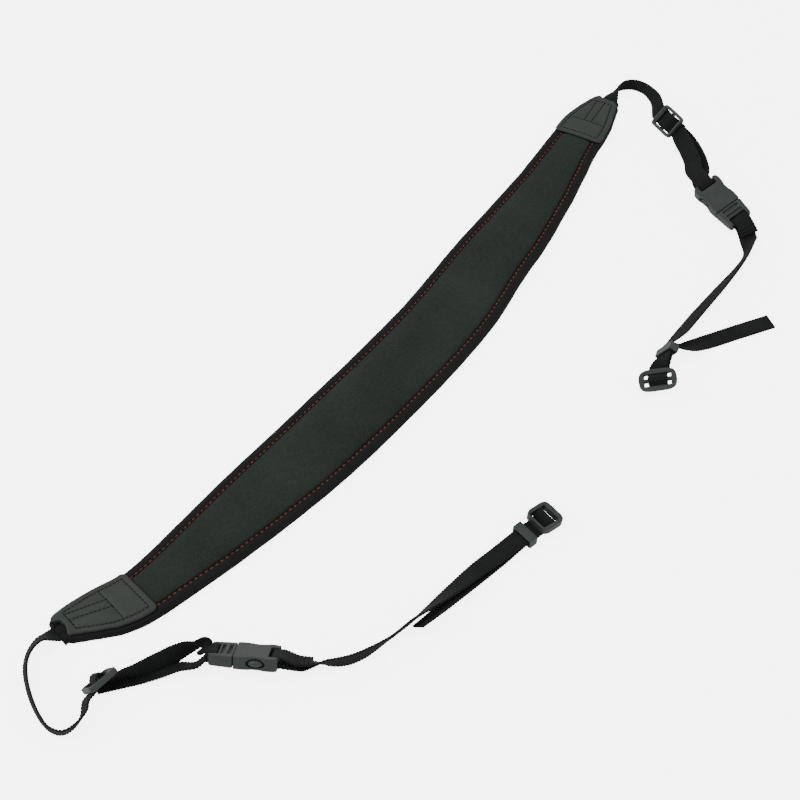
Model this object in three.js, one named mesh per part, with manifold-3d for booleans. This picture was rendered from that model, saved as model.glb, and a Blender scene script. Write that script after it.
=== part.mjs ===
// A camera neck strap lying open on a flat surface: a curved neoprene neck pad with leather end
// caps, and on each end 10 mm webbing with a tri-glide, a side-release buckle and an end slider.
// Millimetres. +X runs along the neck pad, +Y across it, +Z up.
// The origin is the middle of the pad's flat underside.

import * as THREE from 'three';
import { mergeVertices } from 'three/addons/utils/BufferGeometryUtils.js';
import Module from 'manifold-3d';

const wasm = await Module();
wasm.setup();

// ---------------------------------------------------------------- driving sizes

const GAP = 0.3;                 // clearance that touching pieces keep
const WEBBING_WIDTH = 10;
const WEBBING_THICKNESS = 1.2;
const WEBBING_STEP = 2.6;        // spacing of the webbing's sections
const LAYER = WEBBING_THICKNESS + GAP;

const RIM_WIDTH = 6;             // smooth rim beside the woven panel
const RIM_TOP = 4.6;
const BED_TOP = 3.5;             // where the woven panel lies
const CAP_PAD_TOP = 3.9;         // pad height under the leather caps
const PANEL_CROWN = 2.4;         // how far the panel's middle rises over its edges
const LEATHER = 1.3;

const BAR_RADIUS = 1.2;
const WRAP_RADIUS = BAR_RADIUS + GAP + WEBBING_THICKNESS / 2;
const HARDWARE_SLOT = WEBBING_WIDTH + 0.8;

const BUCKLE = { length: 33, width: 17, thickness: 6.6, seam: -4.5, barRadius: 1.4 };
BUCKLE.barX = BUCKLE.length / 2 - BUCKLE.barRadius;
BUCKLE.wrap = BUCKLE.barRadius + GAP + WEBBING_THICKNESS / 2;

const TRI_GLIDE = { length: 16.2, width: 14.6, thickness: 3, corner: 2.6, slot: HARDWARE_SLOT };
TRI_GLIDE.endBarX = TRI_GLIDE.length / 2 - BAR_RADIUS;

const KEEPER = { length: 5.2, wall: 1.1 };
KEEPER.innerHeight = 2 * WEBBING_THICKNESS + 3 * GAP;
KEEPER.layerZ = LAYER / 2;

const RECTANGULAR_SLIDER = { length: 14, width: 15.2, thickness: 4.2, corner: 3.8, slot: HARDWARE_SLOT, outer: 4.2 };
RECTANGULAR_SLIDER.endBarX = RECTANGULAR_SLIDER.length / 2 - BAR_RADIUS;
const OVAL_SLIDER = { length: 13.7, width: 20.3, thickness: 2.8, corner: 6, slot: 14.4 };
OVAL_SLIDER.endBarX = OVAL_SLIDER.length / 2 - BAR_RADIUS - 0.4;

// ---------------------------------------------------------------- materials

const finish = (color, roughness) => new THREE.MeshStandardMaterial({ color, roughness, metalness: 0 });
const neoprene = finish(0x1f2421, 0.7);
const wovenPanel = finish(0x2c352f, 0.95);
const leather = finish(0x444b46, 0.6);
const webbingNylon = finish(0x1a1f1c, 0.85);
const hardPlastic = finish(0x464c49, 0.45);

// ---------------------------------------------------------------- solids and meshes

function geometryToSolid(geometry) {
  const bare = geometry.index ? geometry.clone() : geometry;
  bare.deleteAttribute('normal');
  bare.deleteAttribute('uv');
  const merged = mergeVertices(bare, 1e-4);
  return new wasm.Manifold(new wasm.Mesh({
    numProp: 3,
    vertProperties: new Float32Array(merged.attributes.position.array),
    triVerts: new Uint32Array(merged.index.array),
  }));
}

function solidToGeometry(solid) {
  const { vertProperties, triVerts } = solid.getMesh();
  const geometry = new THREE.BufferGeometry();
  geometry.setAttribute('position', new THREE.BufferAttribute(new Float32Array(vertProperties), 3));
  geometry.setIndex(new THREE.BufferAttribute(new Uint32Array(triVerts), 1));
  return geometry;
}

function box(x0, x1, y0, y1, z0, z1) {
  const geometry = new THREE.BoxGeometry(x1 - x0, y1 - y0, z1 - z0);
  geometry.translate((x0 + x1) / 2, (y0 + y1) / 2, (z0 + z1) / 2);
  return geometryToSolid(geometry);
}

// A round bar across the webbing, centred at x.
function crossBar(x, radius, width) {
  const geometry = new THREE.CylinderGeometry(radius, radius, width, 12);
  geometry.translate(x, 0, 0);
  return geometryToSolid(geometry);
}

// An outline in the XY plane with rounded corners, pulled to a plate centred on z = 0.
function plate(corners, thickness) {
  const shape = new THREE.Shape();
  corners.forEach((corner, i) => {
    const here = new THREE.Vector2(corner.x, corner.y);
    const last = corners[(i + corners.length - 1) % corners.length];
    const next = corners[(i + 1) % corners.length];
    const toLast = new THREE.Vector2(last.x, last.y).sub(here).setLength(corner.r);
    const toNext = new THREE.Vector2(next.x, next.y).sub(here).setLength(corner.r);
    const start = here.clone().add(toLast);
    const end = here.clone().add(toNext);
    if (i === 0) shape.moveTo(start.x, start.y);
    else shape.lineTo(start.x, start.y);
    shape.quadraticCurveTo(here.x, here.y, end.x, end.y);
  });
  shape.closePath();
  const settings = { depth: thickness, bevelEnabled: false, curveSegments: 4 };
  const geometry = new THREE.ExtrudeGeometry(shape, settings);
  geometry.translate(0, 0, -thickness / 2);
  return geometryToSolid(geometry);
}

function rectangle(length, width, radius) {
  const [x, y] = [length / 2, width / 2];
  return [
    { x: -x, y: -y, r: radius },
    { x, y: -y, r: radius },
    { x, y, r: radius },
    { x: -x, y, r: radius },
  ];
}

// ---------------------------------------------------------------- placing the hardware
// A placement turns local x (along the webbing), y (across it) and z (its upper face) to the
// strap's own frame. Heading turns about Z, pitch lifts the x axis, roll lifts the y axis.

function placement({ x, y, z, heading, pitch = 0, roll = 0 }) {
  const turn = new THREE.Euler(
    THREE.MathUtils.degToRad(roll),
    THREE.MathUtils.degToRad(-pitch),
    THREE.MathUtils.degToRad(heading),
    'ZYX',
  );
  const quaternion = new THREE.Quaternion().setFromEuler(turn);
  return new THREE.Matrix4().compose(new THREE.Vector3(x, y, z), quaternion, new THREE.Vector3(1, 1, 1));
}

const PLACE = {
  triGlideFar: placement({ x: 240.1, y: -10.1, z: 9.2, heading: -110, roll: 42 }),
  buckleFar: placement({ x: 202.9, y: -71.3, z: 7.6, heading: 73, pitch: 6, roll: -14 }),
  keeperFar: placement({ x: 89, y: -107.4, z: 7.3, heading: -160, roll: 56 }),
  sliderFar: placement({ x: 70.4, y: -113.8, z: 5.6, heading: -144, pitch: 1, roll: 14 }),
  triGlideNear: placement({ x: -246.4, y: -11.2, z: 9.4, heading: -4, roll: -52 }),
  buckleNear: placement({ x: -194.3, y: -55, z: 8.6, heading: -58.5, pitch: 1, roll: -32 }),
  keeperNear: placement({ x: -53.2, y: -116.1, z: 3.3, heading: -11, roll: 2 }),
  sliderNear: placement({ x: -40.4, y: -118.8, z: 5.2, heading: -12, pitch: -6, roll: 2 }),
};

// ---------------------------------------------------------------- webbing
// A route is a list of rows in the order that the webbing runs. A free row says where the middle
// of the webbing is and its roll in degrees: 0 lies flat, 90 stands on edge with its left edge up.
// A held row lies in a placement, at local x and z, and its width runs along the local y axis.
// The side of a row is -1 where the webbing has turned over, or turned back, so that its width
// keeps pointing to the same edge.

const free = (side, rows) => rows.map(([x, y, z, roll]) => ({ x, y, z, roll, side }));
const held = (place, side, rows) => rows.map(([x, z]) => ({ place, x, z, side }));

// Under one end bar, over the middle bar and under the other end bar. Slack lifts the webbing
// off the middle bar.
function throughTriGlide(place, side, slack) {
  const end = TRI_GLIDE.endBarX;
  const wrap = WRAP_RADIUS;
  const diagonal = wrap * Math.SQRT1_2;
  const half = [
    [end + 1.8, -wrap - 0.1],
    [end, -wrap],
    [end - diagonal, -diagonal],
    [end / 2, slack * 0.4],
    [wrap * 0.8, wrap * 0.8 + slack * 0.7],
  ];
  return held(place, side, [
    [-end - 4.4, -wrap - 0.9],
    ...half.map(([x, z]) => [-x, z]),
    [0, wrap + slack],
    ...half.reverse(),
  ]);
}

// Over a buckle's bar, down through its slot and back under it. Sign is the bar's end of the buckle.
function roundBuckleBar(place, sign, side) {
  const { barX, wrap } = BUCKLE;
  const diagonal = wrap * Math.SQRT1_2;
  return held(place, side, [
    [sign * (barX + 3), wrap + 0.1],
    [sign * barX, wrap],
    [sign * (barX - diagonal), diagonal],
    [sign * (barX - wrap), 0],
    [sign * (barX - diagonal), -diagonal],
    [sign * barX, -wrap],
    [sign * (barX + 3), -wrap - 0.1],
  ]);
}

// Through a keeper: outwards in the upper layer, where layer is 1, and back in the lower, -1.
function throughKeeper(place, side, layer) {
  const reach = KEEPER.length / 2 + 1.4;
  const z = layer * KEEPER.layerZ;
  return held(place, side, [[-layer * reach, z], [layer * reach, z]]);
}

// Under a slider's first bar, up and over its middle bar, and back beneath itself.
function roundSliderBar(place, endBarX, side) {
  const wrap = WRAP_RADIUS;
  const diagonal = wrap * Math.SQRT1_2;
  return held(place, side, [
    [-endBarX - 2.6, -wrap - 0.1],
    [-endBarX, -wrap],
    [-endBarX + diagonal, -diagonal],
    [-endBarX / 2, 0.2],
    [-wrap * 0.5, wrap * 0.95],
    [wrap * 0.4, wrap],
    [wrap + 0.05, 0.4],
    [diagonal + 0.1, -wrap],
    [-wrap * 0.6, -wrap - LAYER * 0.9],
    [-endBarX, -wrap - LAYER - 0.1],
    [-endBarX - 2.6, -wrap - LAYER - 0.4],
  ]);
}

const ROUTE = {
  // from the cap, on edge round a bend, through the tri-glide to the buckle and back
  adjusterFar: [
    ...free(1, [
      [234.2, 30.3, 2.7, 0],
      [240.2, 30.8, 3.0, -5],
      [244.8, 31.8, 4.2, -38],
      [249.6, 31.9, 5.0, -66],
      [254.6, 30.4, 5.4, -74],
      [258.6, 26.2, 5.5, -78],
      [259.8, 19.6, 5.6, -84],
    ]),
    ...free(-1, [
      [257.6, 12.8, 6.0, 84],
      [252.8, 6.0, 7.0, 64],
    ]),
    ...throughTriGlide(PLACE.triGlideFar, -1, 0),
    ...free(-1, [
      [235.4, -22.2, 7.0, 40],
      [228.4, -31.1, 7.6, 34],
      [220.4, -39.6, 8.8, 26],
      [212.2, -45.8, 10.6, 19],
    ]),
    ...roundBuckleBar(PLACE.buckleFar, 1, 1),
    ...free(1, [
      [213.6, -49.6, 6.0, -18],
      [220.4, -46.4, 4.6, -24],
      [227.6, -40.0, 4.3, -32],
      [234.0, -31.6, 4.4, -37],
      [238.2, -24.2, 4.4, -40],
      [240.4, -17.6, 4.4, -41],
    ]),
  ],
  // from its sewn end round the buckle's bar, leaning to the keeper, round the slider, free tail
  cameraFar: [
    ...free(1, [
      [193.2, -95.8, 5.4, -12],
    ]),
    ...roundBuckleBar(PLACE.buckleFar, -1, 1),
    ...free(-1, [
      [191.6, -95.6, 3.2, 16],
      [185.4, -99.8, 4.9, 58],
      [179.2, -102.2, 5.3, 70],
      [169.2, -103.5, 5.1, 62],
      [148.4, -104.0, 4.5, 47],
      [124, -104.2, 4.1, 40],
      [108, -104.8, 4.4, 40],
      [98.4, -105.2, 6.1, 53],
    ]),
    ...throughKeeper(PLACE.keeperFar, -1, 1),
    ...roundSliderBar(PLACE.sliderFar, OVAL_SLIDER.endBarX, -1),
    ...throughKeeper(PLACE.keeperFar, -1, -1),
    ...free(1, [
      [98, -110.4, 4.3, -36],
      [104.4, -113.6, 2.1, -10],
      [113, -118.2, 1.0, 0],
      [129, -127.1, 0.8, 0],
      [147.2, -137.6, 0.7, 0],
    ]),
  ],
  // from the cap, leaning outwards round a wide bend, through the tri-glide to the buckle and back
  adjusterNear: [
    ...free(1, [
      [-231.2, 26.0, 2.7, 0],
      [-237.2, 26.4, 2.9, 3],
      [-240.8, 27.8, 3.9, 26],
      [-245, 29.5, 5.0, 43],
      [-251.4, 29.0, 5.4, 56],
      [-258.8, 25.4, 5.5, 70],
      [-266, 17.8, 5.5, 80],
      [-272.2, 8.0, 5.5, 86],
      [-276.4, -1.8, 5.4, 93],
      [-277.6, -9.2, 5.3, 104],
      [-275.2, -14.6, 5.2, 112],
      [-269, -16.4, 5.3, 111],
      [-262, -15.2, 5.8, 118],
    ]),
    ...throughTriGlide(PLACE.triGlideNear, -1, 1.8),
    ...free(1, [
      [-230.8, -18.6, 6.7, 86],
      [-223, -22.6, 6.0, 62],
      [-213.4, -26.6, 6.2, 60],
      [-206.4, -30.2, 7.4, 84],
      [-202.8, -34.0, 9.2, 116],
    ]),
    ...roundBuckleBar(PLACE.buckleNear, -1, 1),
    ...free(1, [
      [-210.0, -38.0, 4.0, 222],
      [-215.6, -31.8, 3.3, 212],
      [-222.0, -26.4, 2.4, 198],
      [-230.4, -19.8, 1.6, 188],
      [-239.6, -13.2, 1.8, 190],
      [-247.4, -8.2, 2.2, 196],
    ]),
  ],
  // from its sewn end round the buckle's bar, over its own tail to the keeper, round the slider
  cameraNear: [
    ...free(1, [
      [-175.8, -81.6, 6.7, 38],
      [-180, -76.0, 7.0, 26],
    ]),
    ...roundBuckleBar(PLACE.buckleNear, 1, -1),
    ...free(-1, [
      [-179.4, -77.6, 4.2, -18],
      [-175.8, -82.0, 4.5, -44],
      [-172.3, -86.2, 5.5, -72],
      [-168.5, -90.4, 5.5, -82],
      [-163.5, -94.4, 5.5, -85],
      [-156, -97.9, 5.5, -82],
      [-143, -101.4, 5.5, -66],
      [-130, -103.6, 5.6, -69],
      [-119.5, -105.6, 5.6, -54],
      [-109, -107.2, 5.2, -38],
      [-98, -108.6, 4.6, -25],
      [-84.9, -110.2, 3.9, -12],
      [-70.4, -113.0, 3.8, -2],
    ]),
    ...throughKeeper(PLACE.keeperNear, -1, 1),
    ...roundSliderBar(PLACE.sliderNear, RECTANGULAR_SLIDER.endBarX, -1),
    ...throughKeeper(PLACE.keeperNear, -1, -1),
    ...free(1, [
      [-70.5, -113.6, 1.8, 2],
      [-86, -111.8, 1.9, 11],
      [-98, -110.8, 2.6, 22],
      [-109, -110.0, 3.3, 32],
      [-119, -109.0, 3.8, 40],
      [-129, -107.6, 4.4, 45],
    ]),
  ],
};

// Sweeps the webbing's flat section along a route.
function webbing(route) {
  const points = route.map((row) => (row.place
    ? new THREE.Vector3(row.x, 0, row.z).applyMatrix4(row.place)
    : new THREE.Vector3(row.x, row.y, row.z)));
  const curve = new THREE.CatmullRomCurve3(points, false, 'centripetal');
  const last = points.length - 1;
  const up = new THREE.Vector3(0, 0, 1);
  const widths = route.map((row, i) => {
    if (row.place) {
      const across = new THREE.Vector3().setFromMatrixColumn(row.place, 1);
      return across.multiplyScalar(row.side);
    }
    const ahead = points[Math.min(i + 1, last)].clone().sub(points[Math.max(i - 1, 0)]);
    const left = up.clone().cross(ahead).normalize();
    const roll = THREE.MathUtils.degToRad(row.roll);
    return left.multiplyScalar(Math.cos(roll)).addScaledVector(up, Math.sin(roll)).multiplyScalar(row.side);
  });

  const positions = [];
  let sections = 0;
  for (let i = 0; i < last; i += 1) {
    const span = points[i].distanceTo(points[i + 1]);
    const steps = Math.max(1, Math.round(span / WEBBING_STEP));
    for (let k = 0; k < steps + (i === last - 1 ? 1 : 0); k += 1) {
      const share = k / steps;
      const centre = curve.getPoint((i + share) / last);
      const tangent = curve.getTangent((i + share) / last);
      const across = widths[i].clone().lerp(widths[i + 1], share);
      across.addScaledVector(tangent, -across.dot(tangent)).setLength(WEBBING_WIDTH / 2);
      const rise = tangent.clone().cross(across).setLength(WEBBING_THICKNESS / 2);
      for (const [a, r] of [[-1, -1], [1, -1], [1, 1], [-1, 1]]) {
        const corner = centre.clone().addScaledVector(across, a).addScaledVector(rise, r);
        positions.push(corner.x, corner.y, corner.z);
      }
      sections += 1;
    }
  }
  return skin(positions, sections, 4);
}

// Joins rings of points, one ring after the other, to a closed surface with flat ends.
function skin(positions, rings, size) {
  const index = [];
  for (let ring = 0; ring < rings - 1; ring += 1) {
    for (let k = 0; k < size; k += 1) {
      const a = ring * size + k;
      const b = ring * size + ((k + 1) % size);
      index.push(a, b, b + size, a, b + size, a + size);
    }
  }
  const end = (rings - 1) * size;
  for (let k = 1; k < size - 1; k += 1) {
    index.push(0, k + 1, k);
    index.push(end, end + k, end + k + 1);
  }
  const geometry = new THREE.BufferGeometry();
  geometry.setAttribute('position', new THREE.BufferAttribute(new Float32Array(positions), 3));
  geometry.setIndex(index);
  return geometry;
}

// ---------------------------------------------------------------- neck pad
// The pad's plan: where its left and right edges are at each x, near end first.

const PAD_PLAN = [
  { x: -237, left: 31.4, right: 19.5 },
  { x: -235.8, left: 33.6, right: 17.4 },
  { x: -232, left: 34.8, right: 14.0 },
  { x: -226, left: 34.4, right: 8.8 },
  { x: -218, left: 32.8, right: 2.2 },
  { x: -208, left: 30.0, right: -2.8 },
  { x: -196, left: 26.0, right: -6.2 },
  { x: -178, left: 24.6, right: -9.6 },
  { x: -155, left: 24.8, right: -14.0 },
  { x: -125, left: 25.4, right: -18.4 },
  { x: -90, left: 25.2, right: -22.4 },
  { x: -50, left: 25.1, right: -24.2 },
  { x: -10, left: 25.2, right: -24.4 },
  { x: 25, left: 26.0, right: -23.4 },
  { x: 55, left: 28.6, right: -20.4 },
  { x: 90, left: 32.4, right: -13.6 },
  { x: 120, left: 34.2, right: -8.6 },
  { x: 157, left: 37.0, right: -0.4 },
  { x: 180, left: 39.8, right: 6.2 },
  { x: 198, left: 42.2, right: 11.2 },
  { x: 210, left: 43.4, right: 13.4 },
  { x: 222, left: 42.4, right: 16.6 },
  { x: 232, left: 40.4, right: 20.4 },
  { x: 237.6, left: 38.4, right: 22.6 },
  { x: 239.6, left: 36.4, right: 24.6 },
];
const PAD_STEP = 8;
const CAP_LINE = { near: -195, far: 200.5 };      // where each leather cap's inner edge lies
const CAP_TIP = { near: -237, far: 240 };
const WEBBING_MOUTH = { depth: 7.4, floor: 1.5, yNear: 26.2, yFar: 30.5 };

const planCurve = (edge) => new THREE.SplineCurve(PAD_PLAN.map((row) => new THREE.Vector2(row.x, row[edge])));
const EDGE_CURVE = { left: planCurve('left'), right: planCurve('right') };

// The y of one of the pad's edges at x.
function edgeAt(edge, x) {
  let i = 0;
  while (i < PAD_PLAN.length - 2 && PAD_PLAN[i + 1].x < x) i += 1;
  const share = (x - PAD_PLAN[i].x) / (PAD_PLAN[i + 1].x - PAD_PLAN[i].x);
  const clamped = THREE.MathUtils.clamp(share, 0, 1);
  return EDGE_CURVE[edge].getPoint((i + clamped) / (PAD_PLAN.length - 1)).y;
}

const SECTION_LEAN = { middle: -10, rate: 0.0009 };  // sections stay square to the curved pad
const CAP_MARGIN = { near: { left: 0.4, right: 2.6 }, far: { left: 0.4, right: 1.0 } };

const underCap = (x) => x < CAP_LINE.near || x > CAP_LINE.far;
const capCrown = (v) => 0.9 * (1 - v * v);       // v runs from -1 at the right edge to 1 at the left

// The frame of the section at x: its edges, and the point at any y across it.
function sectionFrame(x) {
  const lean = -SECTION_LEAN.rate * (x - SECTION_LEAN.middle);
  const halfWidth = (edgeAt('left', x) - edgeAt('right', x)) / 2;
  const left = edgeAt('left', x + lean * halfWidth);
  const right = edgeAt('right', x - lean * halfWidth);
  const middle = (left + right) / 2;
  const point = (y, z) => [x + lean * (y - middle), y, z];
  return { left, right, middle, half: (left - right) / 2, point };
}

// Section of the pad body at x: flat underside, round rims and the bed for the panel.
function padSection(x) {
  const { left, right, middle, half, point } = sectionFrame(x);
  const rim = Math.min(RIM_WIDTH, 0.64 * half);
  const crownAt = (y) => CAP_PAD_TOP + capCrown((y - middle) / half);
  const profile = [
    { in: 0.2, z: 0 },
    { in: 0, z: 1.5 },
    { in: 0.06, z: 3.0 },
    { in: 0.4, z: RIM_TOP, upper: true },
    { in: 0.84, z: RIM_TOP + 0.1, upper: true },
    { in: 1, z: BED_TOP, upper: true },
  ];
  const sideOf = (edge, sign) => profile.map((row) => {
    const y = edge + sign * row.in * rim;
    return point(y, row.upper && underCap(x) ? crownAt(y) : row.z);
  });
  const top = underCap(x) ? crownAt(middle) : BED_TOP;
  return [point(middle, 0), ...sideOf(left, -1), point(middle, top), ...sideOf(right, 1).reverse()];
}

// Section of the woven panel at x: it lies on the bed and its top is crowned.
function panelSection(x) {
  const { left, right, middle, half, point } = sectionFrame(x);
  const reach = half - RIM_WIDTH - GAP;
  const floor = BED_TOP + GAP;
  const edge = RIM_TOP - 0.2;
  const crown = PANEL_CROWN * Math.min(1, reach / 18);
  const section = [point(middle, floor), point(left - RIM_WIDTH - GAP, floor)];
  for (const v of [1, 0.8, 0.45, 0, -0.45, -0.8, -1]) {
    section.push(point(middle + v * reach, edge + crown * (1 - v ** 4)));
  }
  section.push(point(right + RIM_WIDTH + GAP, floor));
  return section;
}

// Section of a leather cap at x: a sheet on the crowned end of the pad, with round corners.
function capSection(x, from, to, margin) {
  const cornerRadius = 3;
  const distance = Math.min(Math.abs(x - from), Math.abs(x - to));
  const share = Math.min(1, distance / cornerRadius);
  const corner = cornerRadius * (1 - Math.sqrt(1 - (1 - share) ** 2));
  const { left, right, middle, half, point } = sectionFrame(x);
  const leftEdge = left - margin.left - corner;
  const rightEdge = right + margin.right + corner;
  const bottom = [];
  const upper = [];
  for (const part of [0, 0.25, 0.5, 0.75, 1]) {
    const y = THREE.MathUtils.lerp(rightEdge, leftEdge, part);
    const z = CAP_PAD_TOP + capCrown((y - middle) / half) + GAP;
    bottom.push(point(y, z));
    upper.push(point(y, z + LEATHER));
  }
  return [...bottom, ...upper.reverse()];
}

// Sweeps a section, given as points at each x, along a list of stations.
function loft(stations, sectionAt) {
  const sections = stations.map((x) => sectionAt(x));
  return skin(sections.flat(2), sections.length, sections[0].length);
}

// Even stations from one x to another, with any extra ones.
function stationsBetween(from, to, extra = []) {
  const count = Math.ceil((to - from) / PAD_STEP);
  const even = Array.from({ length: count + 1 }, (_, i) => from + ((to - from) * i) / count);
  const all = [...even, ...extra].sort((a, b) => a - b);
  return all.filter((x, i) => i === 0 || x - all[i - 1] > 0.2);
}

function padBody() {
  const tips = PAD_PLAN.filter((row) => underCap(row.x)).map((row) => row.x);
  const steps = [CAP_LINE.near - 0.2, CAP_LINE.near + 0.2, CAP_LINE.far - 0.2, CAP_LINE.far + 0.2];
  const inner = stationsBetween(CAP_LINE.near + 3, CAP_LINE.far - 3);
  const stations = [...tips, ...steps, ...inner].sort((a, b) => a - b);
  const { depth, floor, yNear, yFar } = WEBBING_MOUTH;
  const half = WEBBING_WIDTH / 2 + 1;
  const nearX = PAD_PLAN[0].x;
  const farX = PAD_PLAN[PAD_PLAN.length - 1].x;
  const body = geometryToSolid(loft(stations, padSection))
    .subtract(box(nearX - 5, nearX + depth, yNear - half, yNear + half, floor, 9))
    .subtract(box(farX - depth, farX + 5, yFar - half, yFar + half, floor, 9));
  return solidToGeometry(body);
}

function padPanel() {
  return loft(stationsBetween(CAP_LINE.near + GAP, CAP_LINE.far - GAP), panelSection);
}

function endCap(side) {
  const from = Math.min(CAP_LINE[side], CAP_TIP[side]);
  const to = Math.max(CAP_LINE[side], CAP_TIP[side]);
  const corner = [0.3, 0.9, 1.8, 3];
  const stations = stationsBetween(from, to, corner.flatMap((step) => [from + step, to - step]));
  return loft(stations, (x) => capSection(x, from, to, CAP_MARGIN[side]));
}

// ---------------------------------------------------------------- hard plastic pieces

// A rounded frame with round bars across its opening: an adjuster or a slider. The frame's lower
// face is level with the bars, so the webbing lies flat beneath it.
function ladder({ length, width, thickness, corner, slot, endBarX, outer = endBarX }) {
  const frame = plate(rectangle(length, width, corner), thickness);
  let solid = frame.translate([0, 0, thickness / 2 - BAR_RADIUS])
    .subtract(box(-endBarX, outer, -slot / 2, slot / 2, -9, 9));
  for (const x of [-endBarX, 0, endBarX]) {
    solid = solid.add(crossBar(x, BAR_RADIUS, slot + 1.2));
  }
  return solidToGeometry(solid);
}

// A loop of plastic round both layers of the webbing.
function keeper() {
  const { length, wall, innerHeight } = KEEPER;
  const outer = plate(rectangle(length, HARDWARE_SLOT + 2 * wall, 0.6), innerHeight + 2 * wall);
  const slot = HARDWARE_SLOT / 2;
  return solidToGeometry(outer.subtract(box(-9, 9, -slot, slot, -innerHeight / 2, innerHeight / 2)));
}

// The end of a buckle half: a slot open to the outside, crossed by the bar that holds the webbing.
function withWebbingBar(solid, sign) {
  const { barX, wrap, barRadius } = BUCKLE;
  const slotX = barX - wrap - WEBBING_THICKNESS / 2 - GAP;
  const slot = HARDWARE_SLOT / 2;
  const opening = sign > 0 ? box(slotX, 30, -slot, slot, -9, 9) : box(-30, -slotX, -slot, slot, -9, 9);
  return solid.subtract(opening).add(crossBar(sign * barX, barRadius, HARDWARE_SLOT + 1.4));
}

const BUCKLE_INSIDE = { reach: 10.6, half: 6.7, height: 4.4 };
const RELEASE = { x: 6.2, windowX: 4.6, windowZ: 2.3, buttonX: 4, buttonY: 1.7, buttonZ: 1.9 };
const POCKET = { from: -11, to: -6, half: 5.2, depth: 1.2 };

// An oval bar along y, for the windows in the buckle's sides.
function ovalBar(x, radiusX, radiusZ, width) {
  const geometry = new THREE.CylinderGeometry(1, 1, width, 14);
  geometry.scale(radiusX, 1, radiusZ);
  geometry.translate(x, 0, 0);
  return geometryToSolid(geometry);
}

function buckleFemale() {
  const { length, width, thickness, seam } = BUCKLE;
  const { reach, half, height } = BUCKLE_INSIDE;
  const side = width / 2;
  const start = seam + GAP / 2;
  const end = length / 2;
  const outline = [
    { x: start, y: -side + 0.3, r: 0.6 },
    { x: RELEASE.x - 4.6, y: -side, r: 2 },
    { x: RELEASE.x - 2, y: -side + 1, r: 2 },
    { x: RELEASE.x + 2, y: -side + 1, r: 2 },
    { x: RELEASE.x + 4.8, y: -side, r: 1.5 },
    { x: end, y: -side + 0.4, r: 2 },
  ];
  const mirrored = outline.map(({ x, y, r }) => ({ x, y: -y, r })).reverse();
  const shell = plate([...outline, ...mirrored], thickness)
    .subtract(box(start - 1, reach, -half, half, -height / 2, height / 2))
    .subtract(ovalBar(RELEASE.x, RELEASE.windowX, RELEASE.windowZ, 2 * width));
  return solidToGeometry(withWebbingBar(shell, 1));
}

// The release button: a rounded lens at the end of each prong.
function releaseButton(sign) {
  const geometry = new THREE.SphereGeometry(1, 10, 6);
  geometry.scale(RELEASE.buttonX, RELEASE.buttonY, RELEASE.buttonZ);
  geometry.translate(RELEASE.x, sign * (BUCKLE.width / 2 - 1.4), 0);
  return geometryToSolid(geometry);
}

function buckleMale() {
  const { length, width, thickness, seam } = BUCKLE;
  const { reach, half, height } = BUCKLE_INSIDE;
  const side = width / 2 - 0.2;
  const start = -length / 2;
  const end = seam - GAP / 2;
  const bodyHeight = thickness - 0.8;
  const base = plate([
    { x: start, y: -side + 1, r: 2.2 },
    { x: end, y: -side, r: 0.6 },
    { x: end, y: side, r: 0.6 },
    { x: start, y: side - 1, r: 2.2 },
  ], bodyHeight);
  let solid = withWebbingBar(base, -1);
  const floor = bodyHeight / 2 - POCKET.depth;
  const third = (POCKET.to - POCKET.from) / 3;
  for (const x of [POCKET.from, POCKET.from + 2 * third]) {
    solid = solid.subtract(box(x, x + third, -POCKET.half, POCKET.half, floor, 9));
  }
  const prongHeight = height - 2 * GAP;
  for (const sign of [-1, 1]) {
    const inner = sign * (half - 2.4);
    const outer = sign * (half - GAP);
    const prong = box(end - 1, reach - GAP, Math.min(inner, outer), Math.max(inner, outer),
      -prongHeight / 2, prongHeight / 2);
    solid = solid.add(prong).add(releaseButton(sign));
  }
  const tongue = box(end - 1, reach - 2, -1.4, 1.4, -prongHeight / 2, prongHeight / 2);
  return solidToGeometry(solid.add(tongue));
}

// ---------------------------------------------------------------- the strap

const strap = new THREE.Group();

function add(name, geometry, material, place) {
  const mesh = new THREE.Mesh(geometry, material);
  mesh.name = name;
  if (place) mesh.applyMatrix4(place);
  strap.add(mesh);
}

add('pad_body', padBody(), neoprene);
add('pad_panel', padPanel(), wovenPanel);
add('end_cap_near', endCap('near'), leather);
add('end_cap_far', endCap('far'), leather);

add('adjuster_webbing_far', webbing(ROUTE.adjusterFar), webbingNylon);
add('adjuster_webbing_near', webbing(ROUTE.adjusterNear), webbingNylon);
add('camera_webbing_far', webbing(ROUTE.cameraFar), webbingNylon);
add('camera_webbing_near', webbing(ROUTE.cameraNear), webbingNylon);

for (const side of ['near', 'far']) {
  const ending = side === 'near' ? 'Near' : 'Far';
  add(`tri_glide_${side}`, ladder(TRI_GLIDE), hardPlastic, PLACE[`triGlide${ending}`]);
  add(`buckle_female_${side}`, buckleFemale(), hardPlastic, PLACE[`buckle${ending}`]);
  add(`buckle_male_${side}`, buckleMale(), hardPlastic, PLACE[`buckle${ending}`]);
  add(`keeper_${side}`, keeper(), hardPlastic, PLACE[`keeper${ending}`]);
}
add('slider_near', ladder(RECTANGULAR_SLIDER), hardPlastic, PLACE.sliderNear);
add('slider_far', ladder(OVAL_SLIDER), hardPlastic, PLACE.sliderFar);

export default strap;
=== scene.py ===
# %% [markdown]
# # A camera neck strap
#
# The strap lies open on a pale table. It has a curved foam pad with a woven cloth panel, leather
# end caps, narrow webbing, and small moulded fittings. The lesson goes from the finishes to the
# pad, the leather, the webbing, the fittings and the stitches, and ends with light and a camera.
# Every length in the tables is in millimetres, and a mesh is scaled to metres as it is made.

import math

import bmesh
import bpy
import numpy as np
from mathutils import Matrix, Vector


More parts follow.
